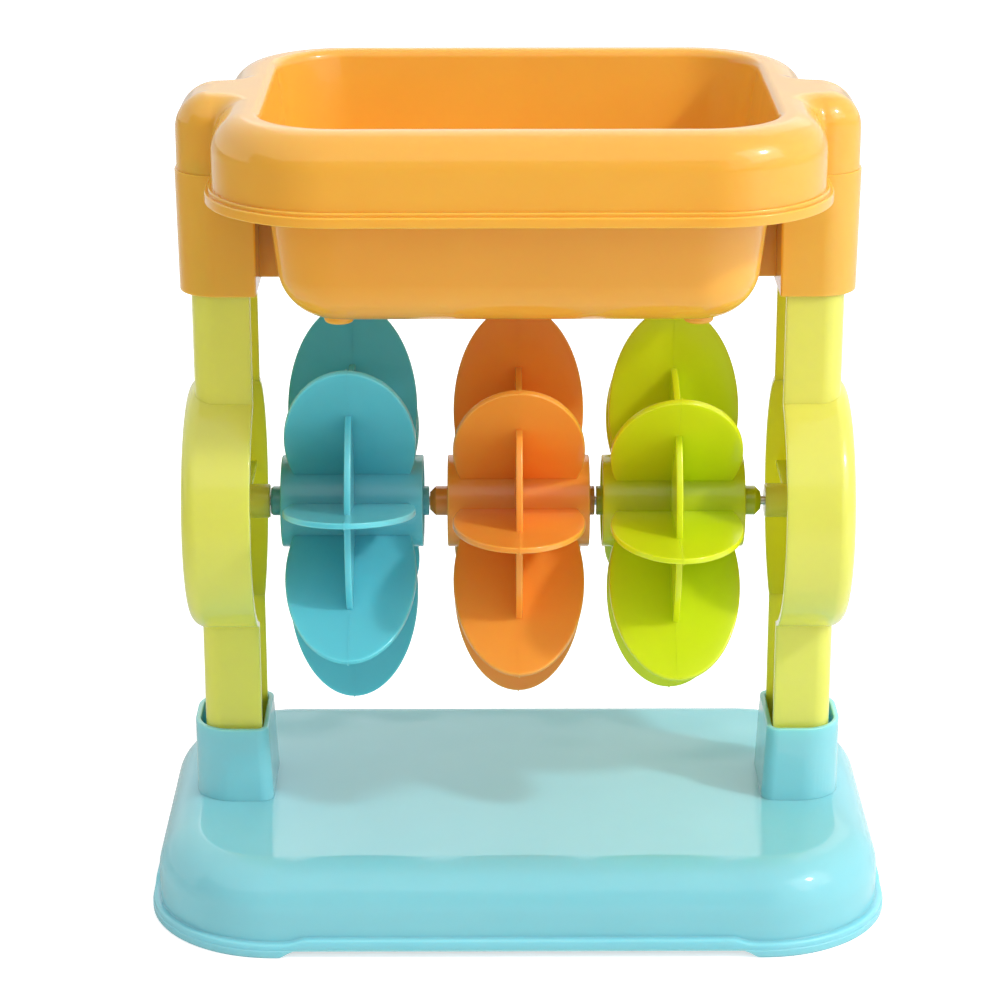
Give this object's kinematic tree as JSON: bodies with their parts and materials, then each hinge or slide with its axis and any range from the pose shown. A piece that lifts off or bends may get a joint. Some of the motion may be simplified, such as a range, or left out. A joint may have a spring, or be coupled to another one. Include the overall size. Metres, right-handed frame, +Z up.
{
  "type": "sand wheel toy",
  "caption": "Freestanding sand and water toy: a pour-in hopper on two legs over a row of free-turning paddle wheels, with a domed base.",
  "frame": {"origin": "centre of the four corner feet at table level, which is the bottom centre of the bounding box", "axes": "+X along the wheels' axle to the viewer's right, +Y to the back, +Z up"},
  "size_m": [0.24, 0.1558, 0.2645],
  "materials": {
    "base_blue": "polished moulding",
    "leg_yellow": "polished moulding",
    "axle_steel": "bright drawn wire",
    "hopper_orange": "polished moulding",
    "wheel_blue": "polished moulding",
    "wheel_orange": "polished moulding",
    "wheel_green": "polished moulding"
  },
  "bodies": {
    "stand": {"base": "base_blue", "left_leg": "leg_yellow", "right_leg": "leg_yellow", "axle": "axle_steel"},
    "hopper": {"hopper": "hopper_orange"},
    "left_wheel": {"left_wheel": "wheel_blue"},
    "middle_wheel": {"middle_wheel": "wheel_orange"},
    "right_wheel": {"right_wheel": "wheel_green"}
  },
  "joints": [
    {"name": "hopper_lift", "type": "slide", "parent": "stand", "child": "hopper", "axis": [0, 0, 1], "range_m": [0, 0.06]},
    {"name": "left_wheel_spin", "type": "hinge", "parent": "stand", "child": "left_wheel", "pos_m": [-0.0536, 0, 0.12773], "axis": [1, 0, 0], "continuous": true},
    {"name": "middle_wheel_spin", "type": "hinge", "parent": "stand", "child": "middle_wheel", "pos_m": [0.00025, 0, 0.12773], "axis": [1, 0, 0], "continuous": true},
    {"name": "right_wheel_spin", "type": "hinge", "parent": "stand", "child": "right_wheel", "pos_m": [0.0504, 0, 0.12773], "axis": [1, 0, 0], "continuous": true}
  ]
}
